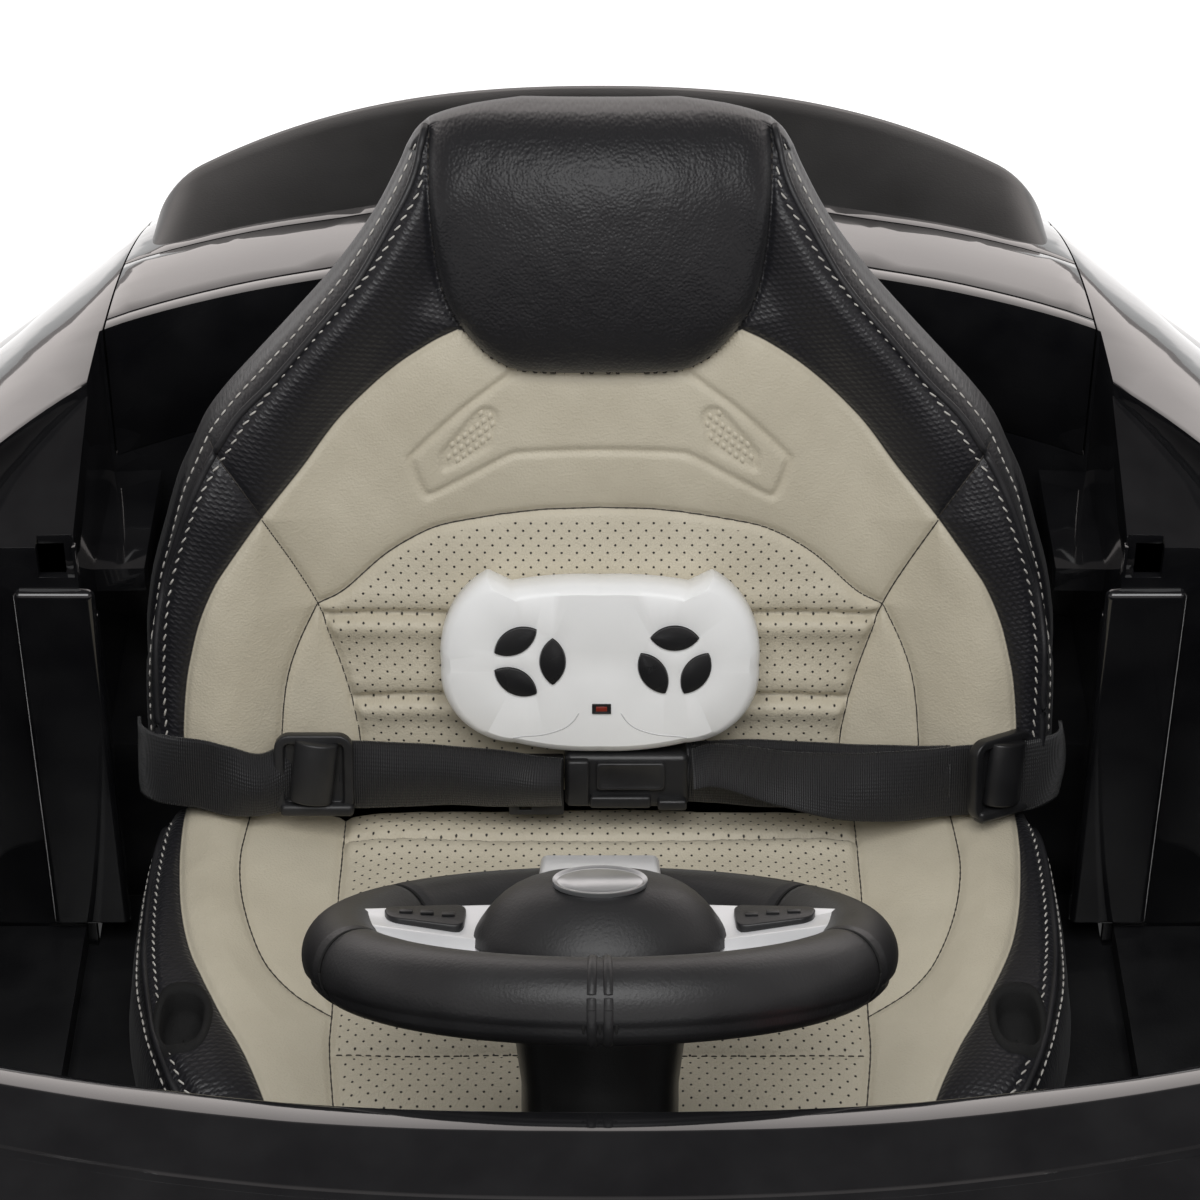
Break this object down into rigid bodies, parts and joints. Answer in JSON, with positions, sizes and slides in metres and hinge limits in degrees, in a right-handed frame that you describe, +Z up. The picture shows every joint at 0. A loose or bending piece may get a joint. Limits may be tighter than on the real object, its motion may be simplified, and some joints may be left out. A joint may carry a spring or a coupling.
{
  "type": "electric ride-on car",
  "caption": "Open child's electric ride-on car with padded stitched seat, lap belt, steering wheel, hinged doors, pedal drive and a remote control resting on the seat.",
  "frame": {"origin": "on the ground under the middle of the car", "axes": "+Z up, -Y to the front of the car, +X to the driver's left"},
  "size_m": [0.6206, 1.08, 0.4531],
  "materials": {
    "gloss_black": "high gloss",
    "trim_black": "fine grain",
    "pan_black": "satin",
    "lens_clear": "clear",
    "lens_red": "clear red",
    "seat_leather": "stitched",
    "seat_back_leather": "stitched",
    "webbing": "woven",
    "buckle_black": "satin",
    "grip_black": "soft",
    "chrome_trim": "polished",
    "steel": "zinc plated",
    "link_black": "satin",
    "remote_white": "satin gloss",
    "button_black": "satin",
    "wheel_black": "moulded",
    "cap_silver": "silver painted",
    "drive_black": "moulded",
    "battery_grey": "moulded",
    "pedal_grey": "ribbed",
    "switch_red": "gloss"
  },
  "bodies": {
    "car": {"chassis_pan": "pan_black", "front_body": "gloss_black", "front_bumper": "gloss_black", "grille": "trim_black", "headlamp_left": "lens_clear", "headlamp_right": "lens_clear", "sill_left": "gloss_black", "sill_right": "gloss_black", "rear_body": "gloss_black", "rear_deck": "gloss_black", "rear_spoiler": "trim_black", "rear_bumper": "gloss_black", "tail_lamp": "lens_red", "dashboard": "trim_black", "column_cover": "gloss_black", "charge_socket": "trim_black", "seat_shell": "pan_black", "seat_cushion": "seat_leather", "seat_backrest": "seat_back_leather", "belt_left": "webbing", "belt_right": "webbing", "belt_adjuster_left": "buckle_black", "belt_adjuster_right": "buckle_black", "buckle_socket": "buckle_black", "buckle_tongue": "buckle_black", "battery": "battery_grey", "control_box": "drive_black", "gearbox_left": "drive_black", "gearbox_right": "drive_black", "motor_left": "steel", "motor_right": "steel", "rear_axle": "steel"},
    "steering": {"steering_rim": "grip_black", "steering_hub": "grip_black", "steering_spokes": "chrome_trim", "steering_shaft": "steel"},
    "spoke_pad_left": {"spoke_pad_left": "grip_black"},
    "spoke_pad_right": {"spoke_pad_right": "grip_black"},
    "knuckle_left": {"knuckle_left": "link_black"},
    "knuckle_right": {"knuckle_right": "link_black"},
    "tie_rod": {"tie_rod": "link_black"},
    "wheel_front_left": {"wheel_front_left": "wheel_black", "hub_cap_front_left": "cap_silver"},
    "wheel_front_right": {"wheel_front_right": "wheel_black", "hub_cap_front_right": "cap_silver"},
    "wheel_rear_left": {"wheel_rear_left": "wheel_black", "hub_cap_rear_left": "cap_silver"},
    "wheel_rear_right": {"wheel_rear_right": "wheel_black", "hub_cap_rear_right": "cap_silver"},
    "door_left": {"door_left": "gloss_black"},
    "door_right": {"door_right": "gloss_black"},
    "pedal": {"pedal": "pedal_grey"},
    "drive_switch": {"drive_switch": "switch_red"},
    "remote": {"remote_case": "remote_white"},
    "remote_turn_button_1": {"remote_turn_button_1": "button_black"},
    "remote_turn_button_2": {"remote_turn_button_2": "button_black"},
    "remote_turn_button_3": {"remote_turn_button_3": "button_black"},
    "remote_drive_button_1": {"remote_drive_button_1": "button_black"},
    "remote_drive_button_2": {"remote_drive_button_2": "button_black"},
    "remote_drive_button_3": {"remote_drive_button_3": "button_black"}
  },
  "joints": [
    {"name": "steering_turn", "type": "hinge", "parent": "car", "child": "steering", "pos_m": [0, -0.007, 0.318], "axis": [0, 0.5446, 0.8387], "range_deg": [-36, 36]},
    {"name": "spoke_pad_left_press", "type": "slide", "parent": "steering", "child": "spoke_pad_left", "axis": [0, -0.5446, -0.8387], "range_m": [0, 0.002], "stiffness_N_per_m": 300, "springref_m": -0.002},
    {"name": "knuckle_left_turn", "type": "hinge", "parent": "car", "child": "knuckle_left", "pos_m": [0.215, -0.33, 0.108], "axis": [0, 0, 1], "range_deg": [-18, 18]},
    {"name": "wheel_front_left_spin", "type": "hinge", "parent": "knuckle_left", "child": "wheel_front_left", "pos_m": [0.262, -0.33, 0.108], "axis": [1, 0, 0], "continuous": true},
    {"name": "wheel_rear_left_spin", "type": "hinge", "parent": "car", "child": "wheel_rear_left", "pos_m": [0.262, 0.375, 0.108], "axis": [1, 0, 0], "continuous": true},
    {"name": "door_left_swing", "type": "hinge", "parent": "car", "child": "door_left", "pos_m": [0.29077, -0.0849, 0.2], "axis": [0, 0, -1], "range_deg": [0, 55]},
    {"name": "spoke_pad_right_press", "type": "slide", "parent": "steering", "child": "spoke_pad_right", "axis": [0, -0.5446, -0.8387], "range_m": [0, 0.002], "stiffness_N_per_m": 300, "springref_m": -0.002},
    {"name": "knuckle_right_turn", "type": "hinge", "parent": "car", "child": "knuckle_right", "pos_m": [-0.215, -0.33, 0.108], "axis": [0, 0, 1], "range_deg": [-18, 18]},
    {"name": "wheel_front_right_spin", "type": "hinge", "parent": "knuckle_right", "child": "wheel_front_right", "pos_m": [-0.262, -0.33, 0.108], "axis": [1, 0, 0], "continuous": true},
    {"name": "wheel_rear_right_spin", "type": "hinge", "parent": "car", "child": "wheel_rear_right", "pos_m": [-0.262, 0.375, 0.108], "axis": [1, 0, 0], "continuous": true},
    {"name": "door_right_swing", "type": "hinge", "parent": "car", "child": "door_right", "pos_m": [-0.29077, -0.0849, 0.2], "axis": [0, 0, 1], "range_deg": [0, 55]},
    {"name": "tie_rod_shift", "type": "slide", "parent": "car", "child": "tie_rod", "axis": [1, 0, 0], "range_m": [-0.0145, 0.0145]},
    {"name": "pedal_press", "type": "hinge", "parent": "car", "child": "pedal", "pos_m": [-0.11, -0.095, 0.105], "axis": [1, 0, 0], "range_deg": [0, 14], "stiffness_Nm_per_rad": 0.4, "springref_deg": -14.32},
    {"name": "drive_switch_rock", "type": "hinge", "parent": "car", "child": "drive_switch", "pos_m": [0.095, -0.0995, 0.323], "axis": [1, 0, 0], "range_deg": [-10, 10]},
    {"name": "remote_lift", "type": "slide", "parent": "car", "child": "remote", "axis": [0, -0.5, 0.866], "range_m": [0, 0.15]},
    {"name": "remote_turn_button_1_press", "type": "slide", "parent": "remote", "child": "remote_turn_button_1", "axis": [0, 0.9397, -0.342], "range_m": [0, 0.0014], "stiffness_N_per_m": 200, "springref_m": -0.002},
    {"name": "remote_turn_button_2_press", "type": "slide", "parent": "remote", "child": "remote_turn_button_2", "axis": [0, 0.9397, -0.342], "range_m": [0, 0.0014], "stiffness_N_per_m": 200, "springref_m": -0.002},
    {"name": "remote_turn_button_3_press", "type": "slide", "parent": "remote", "child": "remote_turn_button_3", "axis": [0, 0.9397, -0.342], "range_m": [0, 0.0014], "stiffness_N_per_m": 200, "springref_m": -0.002},
    {"name": "remote_drive_button_1_press", "type": "slide", "parent": "remote", "child": "remote_drive_button_1", "axis": [0, 0.9397, -0.342], "range_m": [0, 0.0014], "stiffness_N_per_m": 200, "springref_m": -0.002},
    {"name": "remote_drive_button_2_press", "type": "slide", "parent": "remote", "child": "remote_drive_button_2", "axis": [0, 0.9397, -0.342], "range_m": [0, 0.0014], "stiffness_N_per_m": 200, "springref_m": -0.002},
    {"name": "remote_drive_button_3_press", "type": "slide", "parent": "remote", "child": "remote_drive_button_3", "axis": [0, 0.9397, -0.342], "range_m": [0, 0.0014], "stiffness_N_per_m": 200, "springref_m": -0.002}
  ],
  "couplings": [
    {"joint": "knuckle_left_turn", "follows": "steering_turn", "ratio": 0.5},
    {"joint": "knuckle_right_turn", "follows": "steering_turn", "ratio": 0.5},
    {"joint": "tie_rod_shift", "follows": "steering_turn", "m_per_rad": -0.0225}
  ]
}
